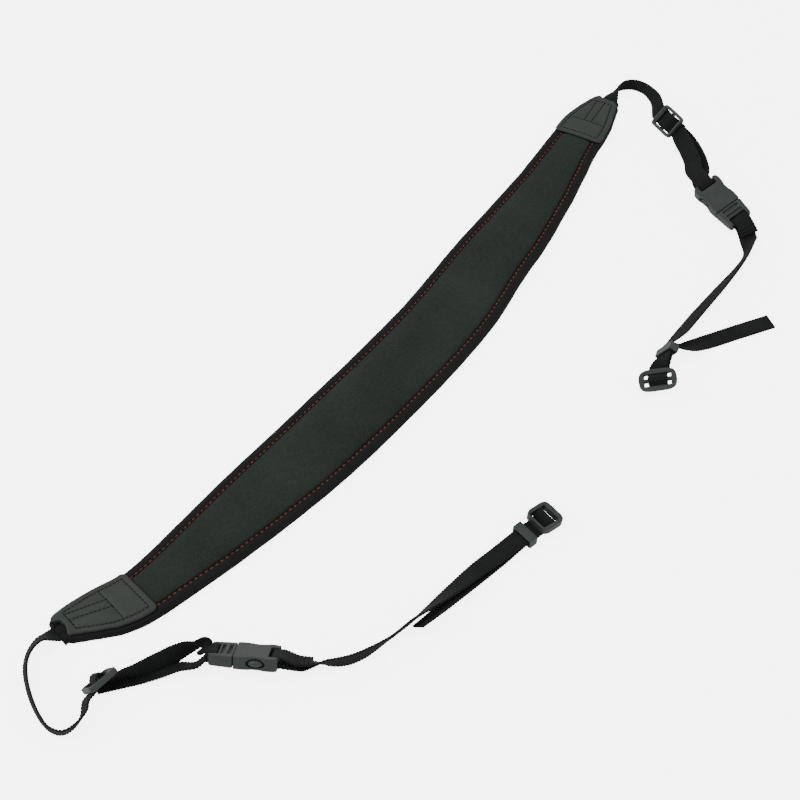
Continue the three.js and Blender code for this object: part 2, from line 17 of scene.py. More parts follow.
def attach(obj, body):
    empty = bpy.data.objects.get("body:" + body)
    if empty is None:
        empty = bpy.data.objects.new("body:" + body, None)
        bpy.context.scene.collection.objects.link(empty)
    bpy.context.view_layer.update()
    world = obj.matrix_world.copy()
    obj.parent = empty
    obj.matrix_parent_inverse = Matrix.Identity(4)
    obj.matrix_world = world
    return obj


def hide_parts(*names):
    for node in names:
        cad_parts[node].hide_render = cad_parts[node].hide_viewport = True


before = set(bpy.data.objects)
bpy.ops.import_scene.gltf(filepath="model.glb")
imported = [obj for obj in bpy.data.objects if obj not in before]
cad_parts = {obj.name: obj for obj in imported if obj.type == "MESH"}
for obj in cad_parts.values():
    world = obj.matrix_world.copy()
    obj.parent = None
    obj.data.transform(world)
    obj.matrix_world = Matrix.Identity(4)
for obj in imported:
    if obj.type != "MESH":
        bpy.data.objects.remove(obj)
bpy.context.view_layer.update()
MM = 0.001

# %% [markdown]
# ## Small helpers
#
# Blender meshes can be made by hand, by modifiers or from lists of points. The strap's soft
# pieces all follow a few rules, so here each one is a grid of points worked out with numpy. A
# ring is one section of a piece, and a skin joins the rings.

# %% Mesh helpers
def new_object(name, mesh, material=None):
    """A new object at the origin, with its place in its mesh."""
    piece = bpy.data.objects.new(name, mesh)
    bpy.context.scene.collection.objects.link(piece)
    if material:
        mesh.materials.append(material)
    return piece


def skin(name, rings, material, uv=None):
    """Joins rings, an array of ring x point x 3 in millimetres, to a closed smooth mesh."""
    count, size, _ = rings.shape
    ring = np.arange(count - 1)[:, None] * size
    here = np.arange(size)[None, :]
    after = (here + 1) % size
    quads = np.stack([ring + here, ring + after, ring + size + after, ring + size + here], -1)
    faces = quads.reshape(-1, 4).tolist()
    faces.append(list(range(size))[::-1])
    faces.append(list(range((count - 1) * size, count * size)))
    mesh = bpy.data.meshes.new(name)
    mesh.from_pydata((rings.reshape(-1, 3) * MM).tolist(), [], faces)
    face_outwards(mesh)
    mesh.polygons.foreach_set("use_smooth", [True] * len(mesh.polygons))
    if uv is not None:
        add_surface_uv(mesh, uv.reshape(-1, 2))
    mesh.update()
    return new_object(name, mesh, material)


def face_outwards(mesh):
    work = bmesh.new()
    work.from_mesh(mesh)
    bmesh.ops.recalc_face_normals(work, faces=work.faces)
    work.to_mesh(mesh)
    work.free()


def add_surface_uv(mesh, points):
    """Writes one UV in metres for each point: along the piece and across it."""
    layer = mesh.uv_layers.new(name="surface")
    corner_points = np.empty(len(mesh.loops), dtype=np.int32)
    mesh.loops.foreach_get("vertex_index", corner_points)
    layer.data.foreach_set("uv", (points[corner_points] * MM).ravel())


def triangles(piece):
    return sum(len(face.vertices) - 2 for face in piece.data.polygons)


def smooth_step(value):
    value = np.clip(value, 0.0, 1.0)
    return value * value * (3.0 - 2.0 * value)


# %% [markdown]
# ## Geometry Nodes that give plain meshes
#
# A Geometry Nodes tree is a recipe. A stitch row could be placed one stitch at a time, but a
# recipe with named sizes lets the same tree sew every seam. The result is taken as a plain mesh,
# because instances and live modifiers are not kept when the piece is exported.

# %% Helpers for node trees
def new_tree(name, sizes):
    """A Geometry Nodes tree with a geometry in and out, and the named sizes as inputs."""
    tree = bpy.data.node_groups.new(name, "GeometryNodeTree")
    tree.interface.new_socket("Geometry", in_out="INPUT", socket_type="NodeSocketGeometry")
    for label, kind in sizes:
        tree.interface.new_socket(label, in_out="INPUT", socket_type=kind)
    tree.interface.new_socket("Geometry", in_out="OUTPUT", socket_type="NodeSocketGeometry")
    return tree, tree.nodes.new("NodeGroupInput"), tree.nodes.new("NodeGroupOutput")


def node(tree, kind, inputs=None, **settings):
    """Adds a node. Inputs are values, or sockets to link from."""
    made = tree.nodes.new(kind)
    for key, value in settings.items():
        setattr(made, key, value)
    for key, value in (inputs or {}).items():
        if isinstance(value, bpy.types.NodeSocket):
            tree.links.new(value, made.inputs[key])
        else:
            made.inputs[key].default_value = value
    return made


def calculate(tree, operation, *values):
    """The result of a Math node. A value is a number, or a socket to link from."""
    return node(tree, "ShaderNodeMath", dict(enumerate(values)), operation=operation).outputs[0]


def made_by(tree, piece, values):
    """Runs a tree on a piece and keeps the result as its plain mesh."""
    modifier = piece.modifiers.new(tree.name, "NODES")
    modifier.node_group = tree
    given = [item for item in tree.interface.items_tree if item.in_out == "INPUT"]
    sockets = {item.name: item.identifier for item in given}
    for label, value in values.items():
        modifier[sockets[label]] = value
    keep_result(piece)


def keep_result(piece):
    """Replaces a piece's mesh by what its modifiers make of it, and removes them."""
    depsgraph = bpy.context.evaluated_depsgraph_get()
    depsgraph.update()
    made = bpy.data.meshes.new_from_object(piece.evaluated_get(depsgraph), depsgraph=depsgraph)
    piece.modifiers.clear()
    piece.data = made
    made.name = piece.name


# %% [markdown]
# ## Effects that several finishes share
#
# Real cloth, leather and plastic are never one flat colour. Three shader groups make the
# differences: a slow change of tone, a grain for the bump, and a weave. Each one has named
# inputs, so a finish sets its own scale. They put out only colours, masks and heights.

# %% Shader groups
def new_effect(name, inputs, outputs):
    group = bpy.data.node_groups.new(name, "ShaderNodeTree")
    for label, kind, value in inputs:
        socket = group.interface.new_socket(label, in_out="INPUT", socket_type=kind)
        if value is not None:
            socket.default_value = value
    for label, kind in outputs:
        group.interface.new_socket(label, in_out="OUTPUT", socket_type=kind)
    return group, group.nodes.new("NodeGroupInput"), group.nodes.new("NodeGroupOutput")


def tone_effect():
    """Mixes a light and a dark tone by slow noise with fine noise on top."""
    group, given, out = new_effect(
        "slow_tone",
        [
            ("Vector", "NodeSocketVector", None),
            ("Dark", "NodeSocketColor", (0.1, 0.1, 0.1, 1)),
            ("Light", "NodeSocketColor", (0.2, 0.2, 0.2, 1)),
            ("Patch scale", "NodeSocketFloat", 40.0),
            ("Speck scale", "NodeSocketFloat", 900.0),
        ],
        [("Color", "NodeSocketColor"), ("Mask", "NodeSocketFloat")],
    )
    patches = node(group, "ShaderNodeTexNoise", {
        "Vector": given.outputs["Vector"], "Scale": given.outputs["Patch scale"], "Detail": 4.0})
    specks = node(group, "ShaderNodeTexNoise", {
        "Vector": given.outputs["Vector"], "Scale": given.outputs["Speck scale"], "Detail": 2.0})
    both = calculate(group, "ADD", patches.outputs["Fac"], specks.outputs["Fac"])
    spread = node(group, "ShaderNodeMapRange", {"Value": both, "From Min": 0.65, "From Max": 1.35})
    tones = {"Factor": spread.outputs[0], "A": given.outputs["Dark"], "B": given.outputs["Light"]}
    mix = node(group, "ShaderNodeMix", tones, data_type="RGBA")
    group.links.new(color_socket(mix.outputs), out.inputs["Color"])
    group.links.new(spread.outputs[0], out.inputs["Mask"])
    return group


def color_socket(sockets, name="Result"):
    """The colour socket of a Mix node, which has one socket of each kind by the same name."""
    return next(s for s in sockets if s.name == name and s.type == "RGBA")


def weave_effect():
    """The height of crossing threads, from a UV in metres and the two thread spacings."""
    group, given, out = new_effect(
        "crossing_threads",
        [
            ("Vector", "NodeSocketVector", None),
            ("Along pitch", "NodeSocketFloat", 0.001),
            ("Across pitch", "NodeSocketFloat", 0.001),
        ],
        [("Height", "NodeSocketFloat")],
    )
    split = node(group, "ShaderNodeSeparateXYZ", {"Vector": given.outputs["Vector"]})
    waves = []
    for axis, pitch in (("X", "Along pitch"), ("Y", "Across pitch")):
        share = calculate(group, "DIVIDE", split.outputs[axis], given.outputs[pitch])
        angle = calculate(group, "MULTIPLY", share, 2.0 * math.pi)
        waves.append(calculate(group, "SINE", angle))
    cross = calculate(group, "MULTIPLY", *waves)
    height = calculate(group, "MULTIPLY_ADD", cross, 0.5, 0.5)
    group.links.new(height, out.inputs["Height"])
    return group


def grain_effect():
    """Small pebbles with fine creases between them, for leather and moulded plastic."""
    group, given, out = new_effect(
        "pebble_grain",
        [("Vector", "NodeSocketVector", None), ("Pebble scale", "NodeSocketFloat", 1200.0)],
        [("Height", "NodeSocketFloat")],
    )
    pebbles = node(group, "ShaderNodeTexVoronoi", {
        "Vector": given.outputs["Vector"], "Scale": given.outputs["Pebble scale"]}, feature="SMOOTH_F1")
    fine = node(group, "ShaderNodeTexNoise", {
        "Vector": given.outputs["Vector"], "Scale": given.outputs["Pebble scale"], "Detail": 5.0})
    height = calculate(group, "ADD", pebbles.outputs["Distance"], fine.outputs["Fac"])
    group.links.new(height, out.inputs["Height"])
    return group


TONE = tone_effect()
WEAVE = weave_effect()
GRAIN = grain_effect()
print("shader groups:", TONE.name, WEAVE.name, GRAIN.name)

# %% [markdown]
# ## The finishes
#
# Each finish is a Principled BSDF whose colour, roughness and bump come from the effects. The
# cloths read the piece's own UV, so that their threads follow it round every bend. On the cloths
# the weave's height also sets the colour: painted shade on the low threads and a painted
# highlight on the raised ones. Leather, plastic and foam have no direction, so they read Object
# coordinates.

# %% Build a finish
def finish(name, dark, light, roughness, patch=40.0, speck=900.0, weave=None, grain=None,
           depth=0.0001, sheen=0.0, spread=0.08, specular=0.5):
    """A material with a tone, a bump from a weave or a grain, and a roughness that changes."""
    material = bpy.data.materials.new(name)
    material.use_nodes = True
    tree = material.node_tree
    surface = tree.nodes["Principled BSDF"]
    surface.inputs["Specular IOR Level"].default_value = specular
    if sheen:
        surface.inputs["Sheen Weight"].default_value = sheen
        surface.inputs["Sheen Roughness"].default_value = 0.4
    places = node(tree, "ShaderNodeTexCoord")
    tone = node(tree, "ShaderNodeGroup", node_tree=TONE)
    tree.links.new(places.outputs["Object"], tone.inputs["Vector"])
    tone.inputs["Dark"].default_value = (*dark, 1.0)
    tone.inputs["Light"].default_value = (*light, 1.0)
    tone.inputs["Patch scale"].default_value = patch
    tone.inputs["Speck scale"].default_value = speck
    color = tone.outputs["Color"]
    height = None
    if weave:
        cloth = node(tree, "ShaderNodeGroup", node_tree=WEAVE)
        threads = node(tree, "ShaderNodeUVMap", uv_map="surface")
        tree.links.new(threads.outputs["UV"], cloth.inputs["Vector"])
        cloth.inputs["Along pitch"].default_value = weave[0]
        cloth.inputs["Across pitch"].default_value = weave[1]
        height = cloth.outputs["Height"]
        # Painted shade and highlight: the colour is darkened where the weave's threads lie low and lightened
        # where they rise.
        shade = node(tree, "ShaderNodeMapRange", {"Value": height, "To Min": 0.55, "To Max": 1.25})
        weave_shaded = node(tree, "ShaderNodeVectorMath", {0: color, 1: shade.outputs[0]}, operation="MULTIPLY")
        color = weave_shaded.outputs[0]
    if grain:
        pebbles = node(tree, "ShaderNodeGroup", node_tree=GRAIN)
        tree.links.new(places.outputs["Object"], pebbles.inputs["Vector"])
        pebbles.inputs["Pebble scale"].default_value = grain
        height = pebbles.outputs["Height"]
    tree.links.new(color, surface.inputs["Base Color"])
    rough = node(tree, "ShaderNodeMapRange", {
        "Value": tone.outputs["Mask"], "To Min": roughness - spread, "To Max": roughness + spread})
    tree.links.new(rough.outputs[0], surface.inputs["Roughness"])
    bump = node(tree, "ShaderNodeBump", {"Height": height, "Distance": depth, "Strength": 1.0})
    tree.links.new(bump.outputs["Normal"], surface.inputs["Normal"])
    return material


# %% The strap's own finishes
FOAM = finish(
    "neoprene", (0.0030, 0.0036, 0.0033), (0.0070, 0.0082, 0.0076), 0.7,
    grain=1500.0, depth=0.00006, specular=0.14)
CLOTH = finish(
    "woven_panel", (0.0115, 0.0165, 0.0128), (0.0250, 0.0330, 0.0262), 0.9, patch=26.0, speck=700.0,
    weave=(0.0009, 0.0011), depth=0.00018, sheen=0.03, specular=0.12)
LEATHER = finish(
    "leather", (0.017, 0.0222, 0.0190), (0.028, 0.0345, 0.0302), 0.6, patch=55.0,
    grain=1300.0, depth=0.00008, specular=0.26)
NYLON = finish(
    "webbing", (0.0038, 0.0047, 0.0042), (0.0125, 0.0145, 0.0134), 0.74, patch=90.0, speck=1500.0,
    weave=(0.0007, 0.0009), depth=0.00014, sheen=0.03, specular=0.12)
PLASTIC = finish(
    "hard_plastic", (0.019, 0.0235, 0.0213), (0.027, 0.0325, 0.0298), 0.45, patch=120.0,
    grain=2600.0, depth=0.00002, specular=0.3)
RED_THREAD = finish(
    "red_thread", (0.10, 0.012, 0.012), (0.21, 0.030, 0.026), 0.65, patch=170.0,
    grain=4000.0, depth=0.00005, sheen=0.08, specular=0.2)
DARK_THREAD = finish(
    "dark_thread", (0.003, 0.0036, 0.0033), (0.007, 0.008, 0.007), 0.75,
    grain=4000.0, depth=0.00005, specular=0.12)
print("finishes:", [m.name for m in bpy.data.materials])

# %% [markdown]
# ## The pad's plan
#
# The neck pad is a long curved shape that narrows to both ends. Its plan is a short table: where
# the left and the right edge are at each place along it. A smooth curve runs through the rows,
# and every section of the pad starts from the two edges and lies square to the bend.

# %% Plan and sections
GAP = 0.3  # what touching pieces keep between them
RIM_WIDTH = 6.0
CAP_PAD_TOP = 3.9  # the pad's height under a cap's edges
CAP_CROWN = 0.9  # how far a cap's middle rises over its edges
CAP_STEP = 1.2  # length of the step down from the open pad to the pad under a cap
BED_TOP = 3.5  # where the panel lies
LEATHER_THICKNESS = 1.3
LEAN_CENTRE = -10.0  # where a section is square to the X axis
LEAN_PER_MM = -0.0009  # how fast sections turn away from it
CAP_LINE = {"near": -195, "far": 200.5}
CAP_TIP = {"near": -237, "far": 240}
CAP_MARGIN = {"near": {"left": 0.4, "right": 2.6}, "far": {"left": 0.4, "right": 1.0}}
PAD_PLAN = [  # x, left edge, right edge
    (-237, 31.4, 19.5),
    (-235.8, 33.6, 17.4),
    (-232, 34.8, 14.0),
    (-226, 34.4, 8.8),
    (-218, 32.8, 2.2),
    (-208, 30.0, -2.8),
    (-196, 26.0, -6.2),
    (-178, 24.6, -9.6),
    (-155, 24.8, -14.0),
    (-125, 25.4, -18.4),
    (-90, 25.2, -22.4),
    (-50, 25.1, -24.2),
    (-10, 25.2, -24.4),
    (25, 26.0, -23.4),
    (55, 28.6, -20.4),
    (90, 32.4, -13.6),
    (120, 34.2, -8.6),
    (157, 37.0, -0.4),
    (180, 39.8, 6.2),
    (198, 42.2, 11.2),
    (210, 43.4, 13.4),
    (222, 42.4, 16.6),
    (232, 40.4, 20.4),
    (237.6, 38.4, 22.6),
    (239.6, 36.4, 24.6),
]
PLAN_ROWS = np.array(PAD_PLAN, dtype=float)


def edge_at(column, x):
    """The y of one edge at x, on a Catmull-Rom curve through the plan's rows."""
    x = np.atleast_1d(np.asarray(x, dtype=float))
    stations = PLAN_ROWS[:, 0]
    last = len(stations) - 1
    i = np.clip(np.searchsorted(stations, x, side="left") - 1, 0, last - 1)
    share = np.clip((x - stations[i]) / (stations[i + 1] - stations[i]), 0.0, 1.0)
    y = PLAN_ROWS[:, column]
    a, b, c, d = (y[np.clip(i + k, 0, last)] for k in (-1, 0, 1, 2))
    slope_b, slope_c = (c - a) / 2.0, (d - b) / 2.0
    return ((2 * b - 2 * c + slope_b + slope_c) * share**3
            + (-3 * b + 3 * c - 2 * slope_b - slope_c) * share**2 + slope_b * share + b)


def section_frame(x):
    """The section's lean, its two edges and its middle at each x."""
    lean = LEAN_PER_MM * (x - LEAN_CENTRE)
    half = (edge_at(1, x) - edge_at(2, x)) / 2.0
    left = edge_at(1, x + lean * half)
    right = edge_at(2, x - lean * half)
    return lean, left, right, (left + right) / 2.0


def under_cap(x):
    """0 on the open pad and 1 under a leather cap, with a short step between."""
    near = smooth_step((CAP_LINE["near"] + CAP_STEP / 2.0 - x) / CAP_STEP)
    far = smooth_step((x - CAP_LINE["far"] + CAP_STEP / 2.0) / CAP_STEP)
    return near + far


def cap_crown(y, left, right, middle):
    return CAP_CROWN * (1.0 - ((y - middle) / ((left - right) / 2.0)) ** 2)


def in_frame(x, lean, middle, y, z):
    return np.stack([x + lean * (y - middle), y, z], -1)


# %% [markdown]
# ## The foam pad
#
# The body is soft foam with a smooth skin that rolls over at the rim. It could be inflated as
# cloth, but its sections are known, so a profile is swept along the plan: flat where it rests,
# full at the rim, and dropping to a seam where the cloth panel begins. Slow waves and a small
# pull at each stitch keep it from looking machined.

# %% Sweep the foam body
STITCH_PITCH = 3.2
STITCH_PULL = 0.22  # how deep a stitch draws the foam in
RIM_PROFILE = [  # share of the rim's width inwards, height
    (0.60, 0.00), (0.22, 0.00), (0.03, 0.75), (0.00, 1.9), (0.06, 3.05), (0.22, 4.05),
    (0.45, 4.62), (0.66, 4.72), (0.82, 4.42), (0.93, 3.95), (1.04, 3.4),
]


def through(rows, steps):
    """Points on a smooth curve through the rows."""
    rows = np.array(rows, dtype=float)
    points = []
    for i in range(len(rows) - 1):
        a, b, c, d = (rows[min(max(i + k, 0), len(rows) - 1)] for k in (-1, 0, 1, 2))
        for step in range(steps):
            t = step / steps
            points.append(b + 0.5 * t * (c - a + t * (2 * a - 5 * b + 4 * c - d
                                                      + t * (3 * (b - c) + d - a))))
    points.append(rows[-1])
    return np.array(points)


def slow_wave(x, phase):
    """A hand-sewn edge wanders a little."""
    slow = 0.07 * np.sin(x / 9.3 + phase) + 0.07 * np.sin(x / 21.0 + 2.1 * phase)
    return slow + 0.04 * np.sin(x / 2.9 + phase)


def rim_side(x, edge, sign, lean, left, right, middle, phase):
    """One side of every section, from the underside up to the bed."""
    profile = through(RIM_PROFILE, 3)
    rim = np.minimum(RIM_WIDTH, 0.64 * (left - right) / 2.0)
    covered = under_cap(x)
    columns = []
    for share, height in profile:
        y = edge + sign * (share * rim) - sign * slow_wave(x, phase) * (1.0 - share)
        crown = CAP_PAD_TOP + cap_crown(y, left, right, middle)
        near_seam = np.exp(-(((share - 0.8) / 0.12) ** 2))
        at_stitch = 0.5 + 0.5 * np.cos(2 * math.pi * x / STITCH_PITCH)
        pull = STITCH_PULL * near_seam * at_stitch
        open_z = height - pull * (height > 3)
        upper = smooth_step((height - 3.0) / 1.2)
        z = open_z + covered * upper * (crown - open_z)
        columns.append(in_frame(x, lean, middle, y, z))
    return columns


def foam_pad():
    x = np.concatenate([
        np.arange(PLAN_ROWS[0, 0], PLAN_ROWS[0, 0] + 4, 0.4),
        np.arange(PLAN_ROWS[0, 0] + 4, PLAN_ROWS[-1, 0] - 4, 0.8),
        np.arange(PLAN_ROWS[-1, 0] - 4, PLAN_ROWS[-1, 0] + 0.01, 0.4),
    ])
    lean, left, right, middle = section_frame(x)
    left_side = rim_side(x, left, -1.0, lean, left, right, middle, 0.4)
    right_side = rim_side(x, right, 1.0, lean, left, right, middle, 1.9)
    covered = under_cap(x)
    bed = []
    inner_left = left_side[-1][:, 1]
    inner_right = right_side[-1][:, 1]
    for share in np.linspace(0, 1, 9)[1:-1]:
        y = inner_left + (inner_right - inner_left) * share
        crown = CAP_PAD_TOP + cap_crown(y, left, right, middle)
        bed.append(in_frame(x, lean, middle, y, BED_TOP + covered * (crown - BED_TOP)))
    underside = []
    for share in np.linspace(0, 1, 7)[1:-1]:
        y = right_side[0][:, 1] + (left_side[0][:, 1] - right_side[0][:, 1]) * share
        underside.append(in_frame(x, lean, middle, y, np.zeros_like(x)))
    rings = np.stack(left_side + bed + right_side[::-1] + underside, axis=1)
    return skin("foam_pad", rings[:, ::-1], FOAM)


pad = foam_pad()
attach(pad, "root")
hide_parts("pad_body")
print("foam pad triangles:", triangles(pad))

# %% [markdown]
# ## The woven panel
#
# The panel is cloth over a thin layer of foam. It lies between the rims, is a little fuller in
# the middle, and turns down into the seam at both sides. Soft creases across it come from being
# bent round a neck, so the height gets a few wide, shallow waves.

# %% Sweep the panel
PANEL_EDGE = 4.4
PANEL_CROWN = 2.4
PANEL_STEP = 0.9


def cloth_panel():
    x = np.arange(CAP_LINE["near"] + GAP, CAP_LINE["far"] - GAP, PANEL_STEP)
    lean, left, right, middle = section_frame(x)
    half = (left - right) / 2.0
    reach = half - RIM_WIDTH - GAP + 0.25
    crown = PANEL_CROWN * np.minimum(1.0, reach / 18.0)
    along = np.concatenate([[0], np.cumsum(np.hypot(np.diff(x), np.diff(middle)))])
    columns, across = [], []
    for v in np.sin(np.linspace(-0.5, 0.5, 45) * math.pi):
        y = middle + v * reach
        turn = np.maximum(0.0, np.abs(v) - 0.93) / 0.07
        z = PANEL_EDGE + crown * (1.0 - v**4) - 0.75 * turn**2
        flat = 1.0 - abs(v) ** 3
        z = z + flat * (0.13 * np.sin(along / 17.0 + 1.2 * v) * np.sin(along / 41.0 + 0.5)
                        + 0.10 * np.sin(along / 8.3 + 2.6 * v + 1.0) * np.sin(along / 29.0))
        columns.append(in_frame(x, lean, middle, y, z))
        across.append(v * reach)
    floor = BED_TOP + GAP
    columns.append(in_frame(x, lean, middle, middle + reach, np.full_like(x, floor)))
    columns.append(in_frame(x, lean, middle, middle - reach, np.full_like(x, floor)))
    across += [reach + 1.0, -reach - 1.0]
    rings = np.stack(columns, axis=1)
    uv = np.stack([np.repeat(along[:, None], len(columns), 1), np.stack(across, axis=1)], -1)
    return skin("cloth_panel", rings, CLOTH, uv)


panel = cloth_panel()
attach(panel, "root")
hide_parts("pad_panel")
print("panel triangles:", triangles(panel))

# %% [markdown]
# ## The leather end caps
#
# A cap is one piece of leather, cut to a taper with round corners and sewn down along a border,
# across the middle and along two lines that hold the webbing. A flat sheet with thickness would
# do, but sewing draws leather in, so the sheet is a fine grid: each seam is a groove, and the
# leather swells between seams. At the tip a notch is left open where the webbing comes out.

# %% Cap seams
# cross is how far the cross seam lies from the cap's inner edge, and tip how far the border stops
# short of its tip. A line runs between two shares across, from -1 at the right to 1 at the left.
CAP_SEAMS = {
    "near": {"cross": 15.6, "lines": [(0.30, 0.50), (-0.08, 0.03)], "inset": 3.2, "tip": 7.6},
    "far": {"cross": 14.0, "lines": [(0.14, 0.38), (-0.17, -0.18)], "inset": 3.0, "tip": 6.4},
}
CAP_CORNER = 3.0
MOUTH = {"near": (26.6, 4.8, 4.4), "far": (30.5, 2.6, 4.6)}  # y, depth, half width


def cap_sides(side, x):
    """The edges of the cap's cut at x, with its round corners."""
    ends = (CAP_LINE[side], CAP_TIP[side])
    distance = np.minimum(np.abs(x - ends[0]), np.abs(x - ends[1]))
    share = np.clip(distance / CAP_CORNER, 0.0, 1.0)
    corner = CAP_CORNER * (1.0 - np.sqrt(1.0 - (1.0 - share) ** 2))
    lean, left, right, middle = section_frame(x)
    margin = CAP_MARGIN[side]
    return lean, left, right, middle, left - margin["left"] - corner, right + margin["right"] + corner


def cap_point(side, depth, v):
    """A point on the cap's plan, depth in from its inner edge and v across it."""
    toward_tip = math.copysign(1.0, CAP_TIP[side])
    x = np.atleast_1d(CAP_LINE[side] + toward_tip * depth)
    lean, _, _, middle, cut_left, cut_right = cap_sides(side, x)
    y = (cut_left + cut_right) / 2.0 + v * (cut_left - cut_right) / 2.0
    return np.array([x[0] + lean[0] * (y[0] - middle[0]), y[0]])


def seam_lines(side):
    """The seams of one cap as lists of plan points."""
    plan = CAP_SEAMS[side]
    inset = plan["inset"]
    length = abs(CAP_TIP[side] - CAP_LINE[side])
    deep = length - plan["tip"]

    def v_in(depth, sign):
        a, b = cap_point(side, depth, -1.0), cap_point(side, depth, 1.0)
        return sign * (1.0 - 2.0 * inset / np.linalg.norm(b - a))

    border = [cap_point(side, inset, v_in(inset, 1)), cap_point(side, inset, v_in(inset, -1))]
    border += [cap_point(side, d, v_in(d, -1)) for d in np.linspace(inset, deep, 12)[1:]]
    border += [cap_point(side, d, v_in(d, 1)) for d in np.linspace(deep, inset, 12)]
    cross = [cap_point(side, plan["cross"], v_in(plan["cross"], sign)) for sign in (1, -1)]
    lines = [border, cross]
    for start, end in plan["lines"]:
        lines.append([cap_point(side, plan["cross"], start), cap_point(side, deep, end)])
    return [np.array(line) for line in lines]


def distance_to(points, line):
    """The shortest distance from each plan point to a seam."""
    nearest = np.full(points.shape[:-1], 1e9)
    for a, b in zip(line[:-1], line[1:]):
        step = b - a
        share = np.clip(((points - a) @ step) / (step @ step), 0.0, 1.0)
        nearest = np.minimum(nearest, np.linalg.norm(points - a - share[..., None] * step, axis=-1))
    return nearest


# %% Make both caps
SEAM_DEPTH = 0.46
SEAM_HALF_WIDTH = 0.44
LEATHER_SWELL = 0.28  # how far the leather rises between seams
SWELL_REACH = 2.0  # how far from a seam it takes to rise


def leather_cap(side):
    toward_tip = math.copysign(1.0, CAP_TIP[side])
    length = abs(CAP_TIP[side] - CAP_LINE[side])
    mouth_y, mouth_depth, mouth_half = MOUTH[side]
    share = np.linspace(0.0, 1.0, 99)
    share = 0.75 * share + 0.125 * (1.0 - np.cos(share * math.pi))
    x = CAP_LINE[side] + toward_tip * share * length
    lean, left, right, middle, cut_left, cut_right = (a[:, None] for a in cap_sides(side, x))
    v = np.linspace(-1.0, 1.0, 81)
    v = (0.6 * v + 0.4 * np.sin(v * math.pi / 2.0))[None, :]
    half = (cut_left - cut_right) / 2.0
    y = (cut_left + cut_right) / 2.0 + v * half
    at_mouth = np.exp(-(((y - mouth_y) / mouth_half) ** 4))
    notch = mouth_depth * at_mouth * smooth_step((share[:, None] - 0.7) / 0.3)
    plan_x = x[:, None] + lean * (y - middle) - toward_tip * notch
    plan = np.stack([plan_x, y], -1)
    seam = np.min([distance_to(plan, line) for line in seam_lines(side)], axis=0)
    base = CAP_PAD_TOP + cap_crown(y, left, right, middle) + GAP
    edge = np.minimum((1.0 - np.abs(v)) * half, np.minimum(share, 1.0 - share)[:, None] * length)
    fillet = 0.75
    short = np.clip(fillet - edge, 0.0, fillet)
    drop = fillet - np.sqrt(fillet**2 - short**2)
    groove = SEAM_DEPTH * np.exp(-((seam / SEAM_HALF_WIDTH) ** 2))
    rise = 1.0 - np.exp(-((seam / SWELL_REACH) ** 2))
    swell = LEATHER_SWELL * rise * smooth_step(edge / SWELL_REACH)
    top = np.stack([plan_x, y, base + LEATHER_THICKNESS - drop - groove + swell], -1)
    under = np.stack([plan_x, y, base], -1)
    return skin(f"leather_cap_{side}", np.concatenate([top, under[:, ::-1]], axis=1), LEATHER)


for side in ("near", "far"):
    cap = leather_cap(side)
    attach(cap, "root")
    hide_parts(f"end_cap_{side}")
    print(cap.name, "triangles:", triangles(cap))

# %% [markdown]
# ## Where the fittings lie
#
# The webbing is threaded through the fittings, so both share one set of places. A place is a
# position and three turns. Local x runs along the webbing, y across it and z up through it.

# %% Places of the fittings
def placement(x, y, z, heading, pitch=0.0, roll=0.0):
    return (Matrix.Translation((x, y, z)) @ Matrix.Rotation(math.radians(heading), 4, "Z")
            @ Matrix.Rotation(math.radians(-pitch), 4, "Y") @ Matrix.Rotation(math.radians(roll), 4, "X"))


WEBBING_WIDTH = 10.0
WEBBING_THICKNESS = 1.2
LAYER = WEBBING_THICKNESS + GAP
FITTING_LENGTH = {
    "buckle": 33.0, "tri_glide": 16.2, "rectangular_slider": 14.0, "oval_slider": 13.7, "keeper": 5.2}
BAR_RADIUS = 1.2
WRAP = BAR_RADIUS + GAP + WEBBING_THICKNESS / 2.0
BUCKLE_BAR_RADIUS = 1.4
BUCKLE_BAR_X = FITTING_LENGTH["buckle"] / 2.0 - BUCKLE_BAR_RADIUS
BUCKLE_WRAP = BUCKLE_BAR_RADIUS + GAP + WEBBING_THICKNESS / 2.0
TRI_GLIDE_END = FITTING_LENGTH["tri_glide"] / 2.0 - BAR_RADIUS
RECTANGULAR_END = FITTING_LENGTH["rectangular_slider"] / 2.0 - BAR_RADIUS
OVAL_END = FITTING_LENGTH["oval_slider"] / 2.0 - BAR_RADIUS - 0.4
KEEPER_REACH = FITTING_LENGTH["keeper"] / 2.0 + 1.4
PLACE = {
    "tri_glide_far": placement(x=240.1, y=-10.1, z=9.2, heading=-110, roll=42),
    "buckle_far": placement(x=202.9, y=-71.3, z=7.6, heading=73, pitch=6, roll=-14),
    "keeper_far": placement(x=89, y=-107.4, z=7.3, heading=-160, roll=56),
    "slider_far": placement(x=70.4, y=-113.8, z=5.6, heading=-144, pitch=1, roll=14),
    "tri_glide_near": placement(x=-246.4, y=-11.2, z=9.4, heading=-4, roll=-52),
    "buckle_near": placement(x=-194.3, y=-55, z=8.6, heading=-58.5, pitch=1, roll=-32),
    "keeper_near": placement(x=-53.2, y=-116.1, z=3.3, heading=-11, roll=2),
    "slider_near": placement(x=-40.4, y=-118.8, z=5.2, heading=-12, pitch=-6, roll=2),
}

# %% [markdown]
# ## The webbing's routes
#
# Narrow webbing bends easily over its face and hardly at all over its edge, so it twists and
# stands on edge in loose bends. A route is a list of rows, and a row says where the middle of the
# webbing is and how far it is rolled. Rows that lie in a fitting are given in the fitting's own
# place instead, so the webbing stays threaded through it.

# %% Rows of a route
def free(side, rows):
    return [{"at": (x, y, z), "roll": roll, "side": side} for x, y, z, roll in rows]


def held(place, side, rows):
    return [{"place": place, "x": x, "z": z, "side": side} for x, z in rows]


